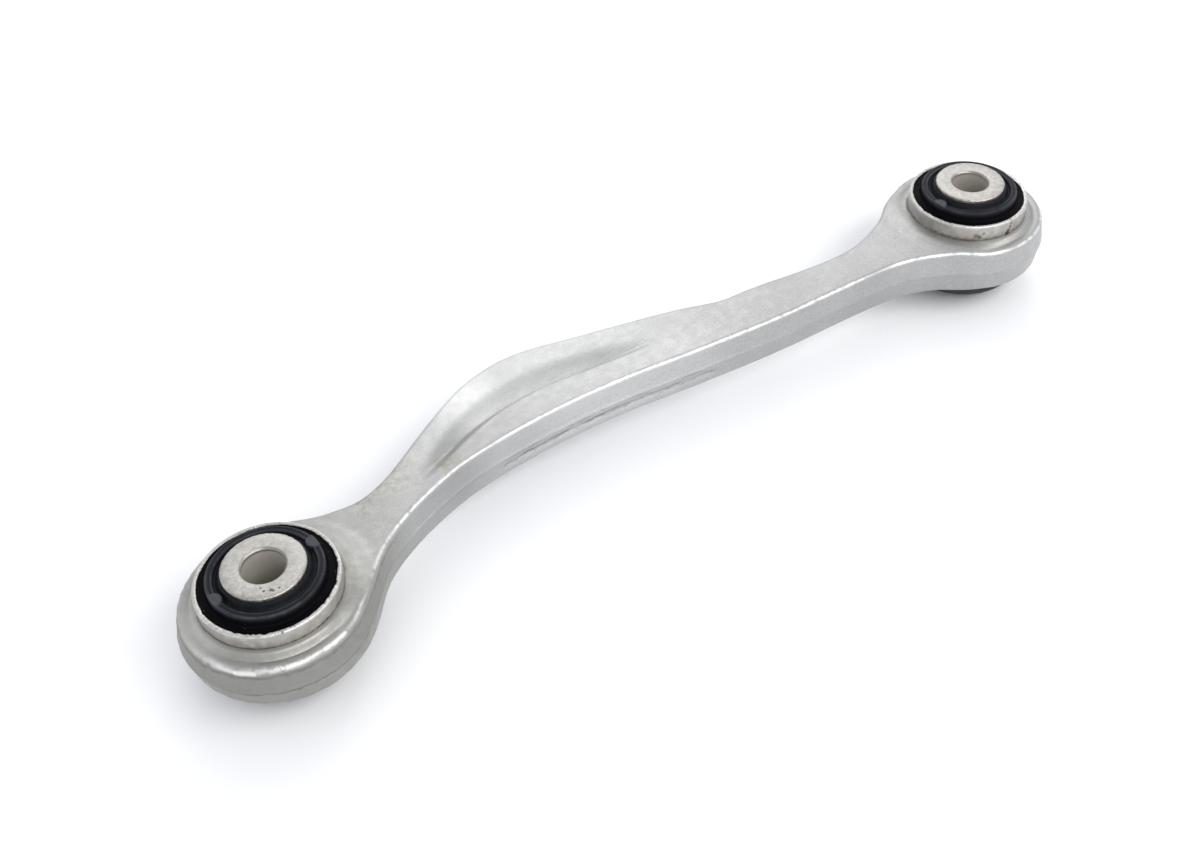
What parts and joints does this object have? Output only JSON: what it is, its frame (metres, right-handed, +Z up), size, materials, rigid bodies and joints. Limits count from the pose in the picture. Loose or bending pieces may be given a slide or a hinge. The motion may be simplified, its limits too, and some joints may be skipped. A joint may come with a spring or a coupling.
{
  "type": "control arm",
  "caption": "Cranked forged suspension link with an eye at each end and a bonded rubber bush in each eye, whose inner sleeve takes the mounting bolt.",
  "frame": {"origin": "under the middle of the whole arm's box, on the surface that the lower ends of the inner sleeves stand on", "axes": "+X from the inboard eye to the outboard eye, +Y towards the side that the shank is cranked to, +Z up along both bush axes"},
  "size_m": [0.336, 0.0696, 0.04],
  "materials": {
    "forged_aluminium": "satin, shot-blasted forging skin",
    "sleeve_steel": "rolled and cut, satin, light staining",
    "inner_sleeve_steel": "machined end faces, satin",
    "bush_rubber": "moulded, slight sheen on the bead"
  },
  "bodies": {
    "arm": {"arm_forging": "forged_aluminium", "inboard_outer_sleeve": "sleeve_steel", "outboard_outer_sleeve": "sleeve_steel"},
    "inboard_rubber": {"inboard_rubber": "bush_rubber"},
    "inboard_inner_sleeve": {"inboard_inner_sleeve": "inner_sleeve_steel"},
    "outboard_rubber": {"outboard_rubber": "bush_rubber"},
    "outboard_inner_sleeve": {"outboard_inner_sleeve": "inner_sleeve_steel"}
  },
  "joints": [
    {"name": "inboard_tilt", "type": "hinge", "parent": "arm", "child": "inboard_rubber", "pos_m": [-0.14, -0.0068, 0.02], "axis": [0, 1, 0], "range_deg": [-3, 3], "stiffness_Nm_per_rad": 200, "deforming": ["inboard_rubber"]},
    {"name": "inboard_twist", "type": "hinge", "parent": "inboard_rubber", "child": "inboard_inner_sleeve", "pos_m": [-0.14, -0.0068, 0.02], "axis": [0, 0, 1], "range_deg": [-20, 20], "stiffness_Nm_per_rad": 57, "deforming": ["inboard_rubber"]},
    {"name": "outboard_tilt", "type": "hinge", "parent": "arm", "child": "outboard_rubber", "pos_m": [0.14, -0.0068, 0.02], "axis": [0, 1, 0], "range_deg": [-3, 3], "stiffness_Nm_per_rad": 200, "deforming": ["outboard_rubber"]},
    {"name": "outboard_twist", "type": "hinge", "parent": "outboard_rubber", "child": "outboard_inner_sleeve", "pos_m": [0.14, -0.0068, 0.02], "axis": [0, 0, 1], "range_deg": [-20, 20], "stiffness_Nm_per_rad": 57, "deforming": ["outboard_rubber"]}
  ]
}
